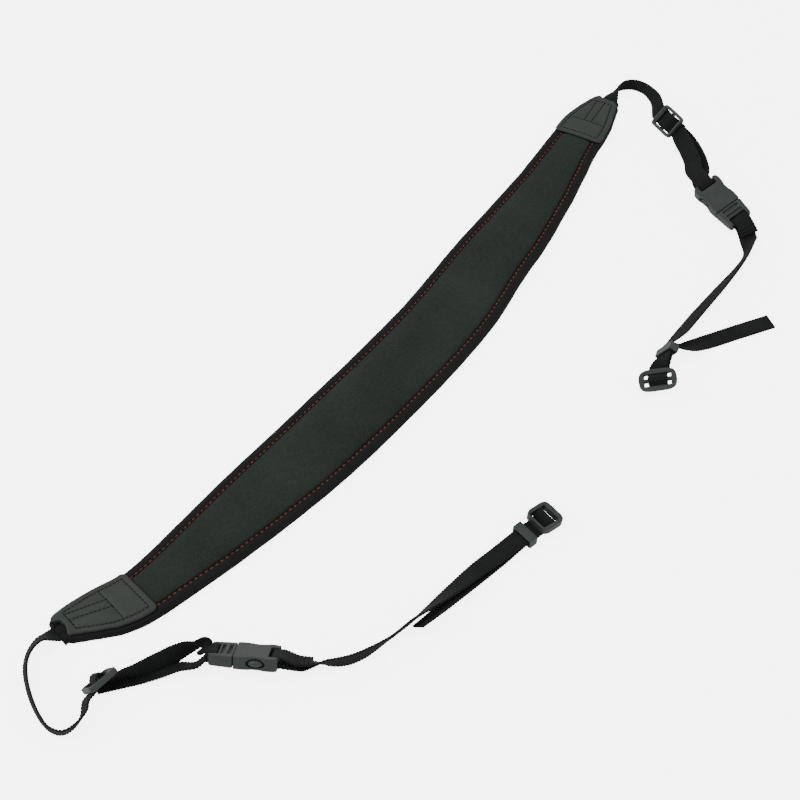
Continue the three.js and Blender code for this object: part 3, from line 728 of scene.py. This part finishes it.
def through_tri_glide(place, side, slack):
    diagonal = WRAP * math.sqrt(0.5)
    half = [
        (TRI_GLIDE_END + 1.8, -WRAP - 0.1),
        (TRI_GLIDE_END, -WRAP),
        (TRI_GLIDE_END - diagonal, -diagonal),
        (TRI_GLIDE_END / 2.0, slack * 0.4),
        (WRAP * 0.8, WRAP * 0.8 + slack * 0.7),
    ]
    entry = [(-TRI_GLIDE_END - 4.4, -WRAP - 0.9)] + [(-x, z) for x, z in half]
    return held(place, side, entry + [(0.0, WRAP + slack)] + half[::-1])


def through_keeper(place, side, layer):
    z = layer * LAYER / 2.0
    return held(place, side, [(-layer * KEEPER_REACH, z), (layer * KEEPER_REACH, z)])


def round_buckle_bar(place, sign, side):
    diagonal = BUCKLE_WRAP * math.sqrt(0.5)
    rows = [
        (BUCKLE_BAR_X + 3.0, BUCKLE_WRAP + 0.1),
        (BUCKLE_BAR_X, BUCKLE_WRAP),
        (BUCKLE_BAR_X - diagonal, diagonal),
        (BUCKLE_BAR_X - BUCKLE_WRAP, 0.0),
        (BUCKLE_BAR_X - diagonal, -diagonal),
        (BUCKLE_BAR_X, -BUCKLE_WRAP),
        (BUCKLE_BAR_X + 3.0, -BUCKLE_WRAP - 0.1),
    ]
    return held(place, side, [(sign * x, z) for x, z in rows])


def round_slider_bar(place, end, side):
    diagonal = WRAP * math.sqrt(0.5)
    return held(place, side, [
        (-end - 2.6, -WRAP - 0.1),
        (-end, -WRAP),
        (-end + diagonal, -diagonal),
        (-end / 2.0, 0.2),
        (-WRAP * 0.5, WRAP * 0.95),
        (WRAP * 0.4, WRAP),
        (WRAP + 0.05, 0.4),
        (diagonal + 0.1, -WRAP),
        (-WRAP * 0.6, -WRAP - LAYER * 0.9),
        (-end, -WRAP - LAYER - 0.1),
        (-end - 2.6, -WRAP - LAYER - 0.4),
    ])


# %% The four routes
ROUTE = {
    # from the cap, on edge round a bend, through the tri-glide to the buckle and back
    "adjuster_webbing_far": [
        *free(1, [
            [234.2, 30.3, 2.7, 0], [240.2, 30.8, 3.0, -5], [244.8, 31.8, 4.2, -38],
            [249.6, 31.9, 5.0, -66], [254.6, 30.4, 5.4, -74], [258.6, 26.2, 5.5, -78],
            [259.8, 19.6, 5.6, -84],
        ]),
        *free(-1, [
            [257.6, 12.8, 6.0, 84], [252.8, 6.0, 7.0, 64],
        ]),
        *through_tri_glide(PLACE["tri_glide_far"], -1, 0),
        *free(-1, [
            [235.4, -22.2, 7.0, 40], [228.4, -31.1, 7.6, 34], [220.4, -39.6, 8.8, 26],
            [212.2, -45.8, 10.6, 19],
        ]),
        *round_buckle_bar(PLACE["buckle_far"], 1, 1),
        *free(1, [
            [213.6, -49.6, 6.0, -18], [220.4, -46.4, 4.6, -24], [227.6, -40.0, 4.3, -32],
            [234.0, -31.6, 4.4, -37], [238.2, -24.2, 4.4, -40], [240.4, -17.6, 4.4, -41],
        ]),
    ],
    # from its sewn end round the buckle's bar, leaning to the keeper, round the slider, free tail
    "camera_webbing_far": [
        *free(1, [
            [193.2, -95.8, 5.4, -12],
        ]),
        *round_buckle_bar(PLACE["buckle_far"], -1, 1),
        *free(-1, [
            [191.6, -95.6, 3.2, 16], [185.4, -99.8, 4.9, 58], [179.2, -102.2, 5.3, 70],
            [169.2, -103.5, 5.1, 62], [148.4, -104.0, 4.5, 47], [124, -104.2, 4.1, 40],
            [108, -104.8, 4.4, 40], [98.4, -105.2, 6.1, 53],
        ]),
        *through_keeper(PLACE["keeper_far"], -1, 1),
        *round_slider_bar(PLACE["slider_far"], OVAL_END, -1),
        *through_keeper(PLACE["keeper_far"], -1, -1),
        *free(1, [
            [98, -110.4, 4.3, -36], [104.4, -113.6, 2.1, -10], [113, -118.2, 1.0, 0],
            [129, -127.1, 0.8, 0], [147.2, -137.6, 0.7, 0],
        ]),
    ],
    # from the cap, leaning outwards round a wide bend, through the tri-glide to the buckle and back
    "adjuster_webbing_near": [
        *free(1, [
            [-231.2, 26.0, 2.7, 0], [-237.2, 26.4, 2.9, 3], [-240.8, 27.8, 3.9, 26],
            [-245, 29.5, 5.0, 43], [-251.4, 29.0, 5.4, 56], [-258.8, 25.4, 5.5, 70],
            [-266, 17.8, 5.5, 80], [-272.2, 8.0, 5.5, 86], [-276.4, -1.8, 5.4, 93],
            [-277.6, -9.2, 5.3, 104], [-275.2, -14.6, 5.2, 112], [-269, -16.4, 5.3, 111],
            [-262, -15.2, 5.8, 118],
        ]),
        *through_tri_glide(PLACE["tri_glide_near"], -1, 1.8),
        *free(1, [
            [-230.8, -18.6, 6.7, 86], [-223, -22.6, 6.0, 62], [-213.4, -26.6, 6.2, 60],
            [-206.4, -30.2, 7.4, 84], [-202.8, -34.0, 9.2, 116],
        ]),
        *round_buckle_bar(PLACE["buckle_near"], -1, 1),
        *free(1, [
            [-210.0, -38.0, 4.0, 222], [-215.6, -31.8, 3.3, 212], [-222.0, -26.4, 2.4, 198],
            [-230.4, -19.8, 1.6, 188], [-239.6, -13.2, 1.8, 190], [-247.4, -8.2, 2.2, 196],
        ]),
    ],
    # from its sewn end round the buckle's bar, over its own tail to the keeper, round the slider
    "camera_webbing_near": [
        *free(1, [
            [-175.8, -81.6, 6.7, 38], [-180, -76.0, 7.0, 26],
        ]),
        *round_buckle_bar(PLACE["buckle_near"], 1, -1),
        *free(-1, [
            [-179.4, -77.6, 4.2, -18], [-175.8, -82.0, 4.5, -44], [-172.3, -86.2, 5.5, -72],
            [-168.5, -90.4, 5.5, -82], [-163.5, -94.4, 5.5, -85], [-156, -97.9, 5.5, -82],
            [-143, -101.4, 5.5, -66], [-130, -103.6, 5.6, -69], [-119.5, -105.6, 5.6, -54],
            [-109, -107.2, 5.2, -38], [-98, -108.6, 4.6, -25], [-84.9, -110.2, 3.9, -12],
            [-70.4, -113.0, 3.8, -2],
        ]),
        *through_keeper(PLACE["keeper_near"], -1, 1),
        *round_slider_bar(PLACE["slider_near"], RECTANGULAR_END, -1),
        *through_keeper(PLACE["keeper_near"], -1, -1),
        *free(1, [
            [-70.5, -113.6, 1.8, 2], [-86, -111.8, 1.9, 11], [-98, -110.8, 2.6, 22],
            [-109, -110.0, 3.3, 32], [-119, -109.0, 3.8, 40], [-129, -107.6, 4.4, 45],
        ]),
    ],
}

# %% [markdown]
# ## From a route to a band
#
# A curve object with a bevel can make a tube, but a flat band needs its own twist at every row.
# So the band is swept by hand: a Catmull-Rom curve gives the middle, the rows give the direction
# of its width, and a section with rounded edges is carried along.

# %% Follow a route
BAND_STEP = 0.25
TWIST_REACH = 7  # steps each way that a twist is averaged over


def curve_point(a, b, c, d, share):
    """Centripetal Catmull-Rom between b and c, and its direction."""
    first, second, third = (max(np.linalg.norm(q - p), 1e-6) ** 0.5 for p, q in ((a, b), (b, c), (c, d)))
    out = ((b - a) / first - (c - a) / (first + second) + (c - b) / second) * second
    back = ((c - b) / second - (d - b) / (second + third) + (d - c) / third) * second
    t = share[:, None]
    cubic, square = 2 * b - 2 * c + out + back, -3 * b + 3 * c - 2 * out - back
    return cubic * t**3 + square * t**2 + out * t + b, 3 * cubic * t**2 + 2 * square * t + out


def row_widths(rows, points):
    up = np.array([0.0, 0.0, 1.0])
    widths = []
    for i, row in enumerate(rows):
        if "place" in row:
            widths.append(np.array(row["place"].col[1][:3]) * row["side"])
            continue
        ahead = points[min(i + 1, len(points) - 1)] - points[max(i - 1, 0)]
        left = np.cross(up, ahead)
        left /= np.linalg.norm(left)
        roll = math.radians(row["roll"])
        widths.append((left * math.cos(roll) + up * math.sin(roll)) * row["side"])
    return widths


def follow(rows):
    """The band's middle, its width and face directions, and its length at each step."""
    points = [
        np.array(row["place"] @ Vector((row["x"], 0.0, row["z"]))) if "place" in row else np.array(row["at"])
        for row in rows
    ]
    widths = row_widths(rows, points)
    ends = [2 * points[0] - points[1], *points, 2 * points[-1] - points[-2]]
    centres, directions, across = [], [], []
    for i in range(len(points) - 1):
        steps = max(1, round(np.linalg.norm(points[i + 1] - points[i]) / BAND_STEP))
        share = np.arange(steps + (i == len(points) - 2)) / steps
        centre, direction = curve_point(*ends[i:i + 4], share)
        centres.append(centre)
        directions.append(direction)
        across.append(widths[i] + (widths[i + 1] - widths[i]) * share[:, None])
    centres, directions, across = (np.concatenate(a) for a in (centres, directions, across))
    directions /= np.linalg.norm(directions, axis=1)[:, None]
    across = settle(across, TWIST_REACH)
    across -= directions * np.sum(across * directions, axis=1)[:, None]
    across /= np.linalg.norm(across, axis=1)[:, None]
    along = np.concatenate([[0], np.cumsum(np.linalg.norm(np.diff(centres, axis=0), axis=1))])
    return centres, across, np.cross(directions, across), along


def settle(values, reach):
    """A moving average, so that a twist has no kinks."""
    padded = np.concatenate([np.repeat(values[:1], reach, 0), values, np.repeat(values[-1:], reach, 0)])
    window = np.ones(2 * reach + 1) / (2 * reach + 1)
    return np.stack([np.convolve(padded[:, k], window, "valid") for k in range(3)], axis=1)


# %% [markdown]
# ## Ribs across the webbing
#
# Webbing is woven with a heavy weft, which shows as ribs across it. The ribs follow the band's
# length, so a small Geometry Nodes tree lifts and lowers the surface along its normal.

# %% The rib tree
def rib_tree():
    tree, given, out = new_tree("webbing_ribs", [
        ("Pitch", "NodeSocketFloat"), ("Relief", "NodeSocketFloat"), ("Finish", "NodeSocketMaterial")])
    length = node(tree, "GeometryNodeInputNamedAttribute", {"Name": "along"}, data_type="FLOAT")
    share = calculate(tree, "DIVIDE", length.outputs["Attribute"], given.outputs["Pitch"])
    angle = calculate(tree, "MULTIPLY", share, math.pi)
    rib = calculate(tree, "ABSOLUTE", calculate(tree, "SINE", angle))
    level = calculate(tree, "SUBTRACT", rib, 0.6)
    height = calculate(tree, "MULTIPLY", level, given.outputs["Relief"])
    normal = node(tree, "GeometryNodeInputNormal")
    offset = node(tree, "ShaderNodeVectorMath", {
        0: normal.outputs["Normal"], "Scale": height}, operation="SCALE")
    moved = node(tree, "GeometryNodeSetPosition", {
        "Geometry": given.outputs["Geometry"], "Offset": offset.outputs[0]})
    real = node(tree, "GeometryNodeRealizeInstances", {"Geometry": moved.outputs[0]})
    painted = node(tree, "GeometryNodeSetMaterial", {
        "Geometry": real.outputs[0], "Material": given.outputs["Finish"]})
    tree.links.new(painted.outputs[0], out.inputs["Geometry"])
    return tree


RIBS = rib_tree()

# %% [markdown]
# ## The four bands
#
# Each band is swept with a section that is full in the middle and thin at its woven edges, and
# then ribbed. The band is a flat strap of a known length, so its length is printed.

# %% Sweep the bands
RIB_PITCH = 1.55
RIB_RELIEF = 0.34
BAND_SECTION = [  # share of the half width, share of the half thickness
    (-1.0, 0.0), (-0.975, 0.55), (-0.91, 0.88), (-0.75, 1.0), (-0.4, 0.97), (0.0, 0.95),
    (0.4, 0.97), (0.75, 1.0), (0.91, 0.88), (0.975, 0.55), (1.0, 0.0),
]


def band(name, rows):
    centres, across, rise, along = follow(rows)
    lower = [(a, -r) for a, r in BAND_SECTION[-2:0:-1]]
    rings, uv = [], []
    for a, r in BAND_SECTION + lower:
        rings.append(centres + across * (a * WEBBING_WIDTH / 2.0) + rise * (r * WEBBING_THICKNESS / 2.0))
        uv.append(np.stack([along, np.full_like(along, a * WEBBING_WIDTH / 2.0 + (r < 0) * 0.4)], -1))
    piece = skin(name, np.stack(rings, axis=1), NYLON, np.stack(uv, axis=1))
    length = piece.data.attributes.new("along", "FLOAT", "POINT")
    length.data.foreach_set("value", np.repeat(along, len(rings)).astype(np.float32) * MM)
    made_by(RIBS, piece, {"Pitch": RIB_PITCH * MM, "Relief": RIB_RELIEF * MM, "Finish": NYLON})
    piece.data.polygons.foreach_set("use_smooth", [True] * len(piece.data.polygons))
    return piece, (centres, across, rise, along)


BANDS = {}
for name, rows in ROUTE.items():
    piece, BANDS[name] = band(f"ribbed_{name}", rows)
    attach(piece, "root")
    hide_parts(name)
    print(piece.name, "length", round(float(BANDS[name][3][-1]), 1), "mm, triangles", triangles(piece))

# %% [markdown]
# ## The moulded fittings
#
# Buckles, adjusters, keepers and sliders are moulded plastic: every edge has a small radius. A
# bevel needs clean edges, which a faceted solid with many cuts does not have. A voxel remesh and
# a little smoothing round every edge evenly, inside and outside, and keep the openings.

# %% Round the fittings
def moulded(name, cad_node, voxel, rounds):
    mesh = bpy.data.objects[cad_node].data.copy()
    mesh.name = name
    work = bmesh.new()
    work.from_mesh(mesh)
    bmesh.ops.remove_doubles(work, verts=work.verts, dist=1e-6)
    work.to_mesh(mesh)
    work.free()
    mesh.materials.clear()
    piece = new_object(name, mesh, PLASTIC)
    remesh = piece.modifiers.new("even_skin", "REMESH")
    remesh.mode = "VOXEL"
    remesh.voxel_size = voxel * MM
    remesh.use_smooth_shade = True
    relax = piece.modifiers.new("moulded_edges", "SMOOTH")
    relax.factor = 0.5
    relax.iterations = rounds
    keep_result(piece)
    piece.data.materials.clear()
    piece.data.materials.append(PLASTIC)
    piece.data.polygons.foreach_set("use_smooth", [True] * len(piece.data.polygons))
    return piece


FITTINGS = [  # node, voxel size, smoothing rounds
    (f"{kind}_{side}", voxel, rounds)
    for kind, voxel, rounds in (
        ("tri_glide", 0.22, 5), ("buckle_female", 0.24, 5), ("buckle_male", 0.24, 5),
        ("keeper", 0.2, 4), ("slider", 0.22, 5))
    for side in ("near", "far")
]
for cad_node, voxel, rounds in FITTINGS:
    fitting = moulded(f"moulded_{cad_node}", cad_node, voxel, rounds)
    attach(fitting, "root")
    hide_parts(cad_node)
    print(fitting.name, "triangles:", triangles(fitting))

# %% [markdown]
# ## Stitches
#
# A machine stitch is a short piece of thread that dips into the cloth at both ends. One tree
# makes them all: it spaces points along a line, puts a small rounded stitch on each, turned to
# the line and to the surface, and lets each one wander a little.

# %% The stitch tree
def stitch_tree():
    tree, given, out = new_tree("stitch_row", [
        ("Pitch", "NodeSocketFloat"), ("Stitch", "NodeSocketVector"),
        ("Wander", "NodeSocketFloat"), ("Seed", "NodeSocketInt"), ("Thread", "NodeSocketMaterial")])
    curve = node(tree, "GeometryNodeMeshToCurve", {"Mesh": given.outputs["Geometry"]})
    spaced = node(tree, "GeometryNodeResampleCurve", {
        "Curve": curve.outputs["Curve"], "Length": given.outputs["Pitch"]}, mode="LENGTH")
    tangent = node(tree, "GeometryNodeInputTangent")
    along = node(tree, "FunctionNodeAlignRotationToVector", {"Vector": tangent.outputs[0]}, axis="X")
    up = node(tree, "GeometryNodeInputNamedAttribute", {"Name": "up"}, data_type="FLOAT_VECTOR")
    turned = node(tree, "FunctionNodeAlignRotationToVector", {
        "Rotation": along.outputs[0], "Vector": up.outputs["Attribute"]}, axis="Z", pivot_axis="X")
    bead = node(tree, "GeometryNodeMeshUVSphere", {"Segments": 10, "Rings": 7, "Radius": 0.5})
    thread = node(tree, "GeometryNodeTransform", {
        "Geometry": bead.outputs["Mesh"], "Scale": given.outputs["Stitch"]})
    wander = given.outputs["Wander"]
    low, high = (
        node(tree, "ShaderNodeVectorMath", {0: (1, 1, 1), "Scale": scale}, operation="SCALE").outputs[0]
        for scale in (calculate(tree, "MULTIPLY", wander, -1.0), wander))
    chance = node(tree, "FunctionNodeRandomValue", {
        "Min": low, "Max": high, "Seed": given.outputs["Seed"]}, data_type="FLOAT_VECTOR")
    moved = node(tree, "GeometryNodeSetPosition", {
        "Geometry": spaced.outputs["Curve"], "Offset": chance.outputs["Value"]})
    placed = node(tree, "GeometryNodeInstanceOnPoints", {
        "Points": moved.outputs[0], "Instance": thread.outputs[0], "Rotation": turned.outputs[0]})
    real = node(tree, "GeometryNodeRealizeInstances", {"Geometry": placed.outputs[0]})
    painted = node(tree, "GeometryNodeSetMaterial", {
        "Geometry": real.outputs[0], "Material": given.outputs["Thread"]})
    tree.links.new(painted.outputs[0], out.inputs["Geometry"])
    return tree


STITCHES = stitch_tree()


def stitched(name, lines, ups, pitch, stitch, wander, seed, thread):
    """Sews every line, each an array of points in millimetres, as one piece."""
    points = np.concatenate(lines)
    edges, start = [], 0
    for line in lines:
        edges += [(start + i, start + i + 1) for i in range(len(line) - 1)]
        start += len(line)
    mesh = bpy.data.meshes.new(name)
    mesh.from_pydata((points * MM).tolist(), edges, [])
    normal = mesh.attributes.new("up", "FLOAT_VECTOR", "POINT")
    normal.data.foreach_set("vector", np.concatenate(ups).astype(np.float32).ravel())
    piece = new_object(name, mesh, thread)
    made_by(STITCHES, piece, {
        "Pitch": pitch * MM, "Stitch": [size * MM for size in stitch], "Wander": wander * MM,
        "Seed": seed, "Thread": thread})
    piece.data.polygons.foreach_set("use_smooth", [True] * len(piece.data.polygons))
    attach(piece, "root")
    print(name, "triangles:", triangles(piece))


# %% [markdown]
# ## The red seam round the panel
#
# Red thread joins the rims to the panel. On the outer side of the bend it lies on the rim, and
# on the inner side it has sunk into the seam, so only part of it shows.

# %% Sew the rims
def rim_line(column, share, height):
    x = np.arange(CAP_LINE["near"] + 1.2, CAP_LINE["far"] - 1.2, 1.0)
    lean, left, right, middle = section_frame(x)
    edge, sign = (left, -1.0) if column == "left" else (right, 1.0)
    return in_frame(x, lean, middle, edge + sign * share * RIM_WIDTH, np.full_like(x, height))


def level_ups(line, tilt_y=0.0):
    up = np.array([0.0, tilt_y, 1.0])
    return np.tile(up / np.linalg.norm(up), (len(line), 1))


right_row = rim_line("right", 0.80, 4.52)
left_row = rim_line("left", 0.90, 4.15)
stitched(
    "rim_stitches", [right_row, left_row], [level_ups(right_row, 0.2), level_ups(left_row, -0.8)],
    STITCH_PITCH, (1.85, 0.85, 0.6), 0.12, 4, RED_THREAD)

# %% [markdown]
# ## Dark seams on the caps and the webbing
#
# The caps are sewn along their grooves in dark thread. The folded ends of the webbing are sewn
# in short rows across it, beside each buckle.

# %% Sew the caps
THREAD_SINK = 0.24  # how far a cap's thread lies below the leather


def cap_height(points):
    x, y = points[:, 0], points[:, 1]
    lean, left, right, middle = section_frame(x)
    return CAP_PAD_TOP + cap_crown(y, left, right, middle) + GAP + LEATHER_THICKNESS - THREAD_SINK


def spread_points(line, step):
    pieces = [np.linspace(a, b, max(2, int(np.linalg.norm(b - a) / step)), endpoint=False)
              for a, b in zip(line[:-1], line[1:])]
    return np.concatenate([*pieces, line[-1:]])


for side in ("near", "far"):
    lines = []
    for seam in seam_lines(side):
        plan = spread_points(seam, 0.8)
        lines.append(np.column_stack([plan, cap_height(plan)]))
    stitched(f"cap_stitches_{side}", lines, [level_ups(line) for line in lines],
             2.1, (1.6, 0.5, 0.36), 0.04, 11, DARK_THREAD)


# %% Sew the webbing's folds
FOLD_DISTANCES = (2.2, 4.0)
THREAD_RISE = 0.12  # how far a fold's thread lies above the webbing


def row_across(name, distance):
    """A row of stitches across a band, at a distance along it, on its upper face."""
    centres, across, rise, along = BANDS[name]
    i = int(np.argmin(np.abs(along - distance)))
    shares = np.linspace(-0.82, 0.82, 12)[:, None] * WEBBING_WIDTH / 2.0
    line = centres[i] + across[i] * shares + rise[i] * (WEBBING_THICKNESS / 2.0 + THREAD_RISE)
    return line, np.tile(rise[i], (len(line), 1))


fold_rows = [row_across(f"camera_webbing_{side}", distance)
             for side in ("near", "far") for distance in FOLD_DISTANCES]
fold_lines, fold_ups = zip(*fold_rows)
stitched("fold_stitches", fold_lines, fold_ups, 1.5, (1.2, 0.5, 0.4), 0.05, 7, DARK_THREAD)

# %% [markdown]
# ## Table, light and camera
#
# The strap lies on a white table in soft light from a bright sky and two large lamps. Lit only by
# them the table comes out grey, so its material also glows, for rays from the camera alone. That
# whitens it without lighting the strap, but it hides most of the strap's own soft shadow. The
# camera looks down at the strap from in front with a long lens.

# %% Table
TABLE_GLOW = 5.0  # seen by the camera only, and lights nothing else
TABLE_HALF = 4.0


def table():
    mesh = bpy.data.meshes.new("table_top")
    corners = [(x * TABLE_HALF, y * TABLE_HALF, 0) for x, y in ((-1, -1), (1, -1), (1, 1), (-1, 1))]
    mesh.from_pydata(corners, [], [(0, 1, 2, 3)])
    paint = bpy.data.materials.new("white_table")
    paint.use_nodes = True
    surface = paint.node_tree.nodes["Principled BSDF"]
    surface.inputs["Base Color"].default_value = (0.96, 0.96, 0.96, 1)
    surface.inputs["Roughness"].default_value = 0.9
    surface.inputs["Specular IOR Level"].default_value = 0.1
    seen = node(paint.node_tree, "ShaderNodeLightPath")
    glow = calculate(paint.node_tree, "MULTIPLY", seen.outputs["Is Camera Ray"], TABLE_GLOW)
    surface.inputs["Emission Color"].default_value = (1.0, 1.0, 1.0, 1)
    paint.node_tree.links.new(glow, surface.inputs["Emission Strength"])
    return new_object("table_top", mesh, paint)


table()

# %% Sky and lamps
SKY_STRENGTH = 0.95
world = bpy.data.worlds.new("soft_sky")
bpy.context.scene.world = world
world.use_nodes = True
sky = world.node_tree.nodes["Background"]
sky.inputs["Color"].default_value = (1.0, 1.0, 1.0, 1)
sky.inputs["Strength"].default_value = SKY_STRENGTH


def lamp(name, place, size, power):
    """A square lamp that faces the middle of the strap."""
    light = bpy.data.lights.new(name, "AREA")
    light.size = size
    light.energy = power
    made = bpy.data.objects.new(name, light)
    made.location = place
    made.rotation_euler = (Vector((0, 0, 0)) - Vector(place)).to_track_quat("-Z", "Y").to_euler()
    bpy.context.scene.collection.objects.link(made)


lamp("key_lamp", place=(-0.9, 0.9, 1.6), size=1.2, power=24.0)
lamp("fill_lamp", place=(0.9, -0.9, 1.5), size=1.6, power=8.0)

# %% Camera
camera = bpy.data.objects.new("camera", bpy.data.cameras.new("camera"))
bpy.context.scene.collection.objects.link(camera)
camera.data.lens = 88.97
camera.data.sensor_width = 36.0
camera.location = (-0.5482, -0.4217, 0.7967)
aim_point = Vector((-0.020, -0.012, 0.0))
aim = aim_point - camera.location
camera.rotation_euler = aim.to_track_quat("-Z", "Y").to_euler()
bpy.context.scene.camera = camera
print("camera distance:", round(aim.length, 3))
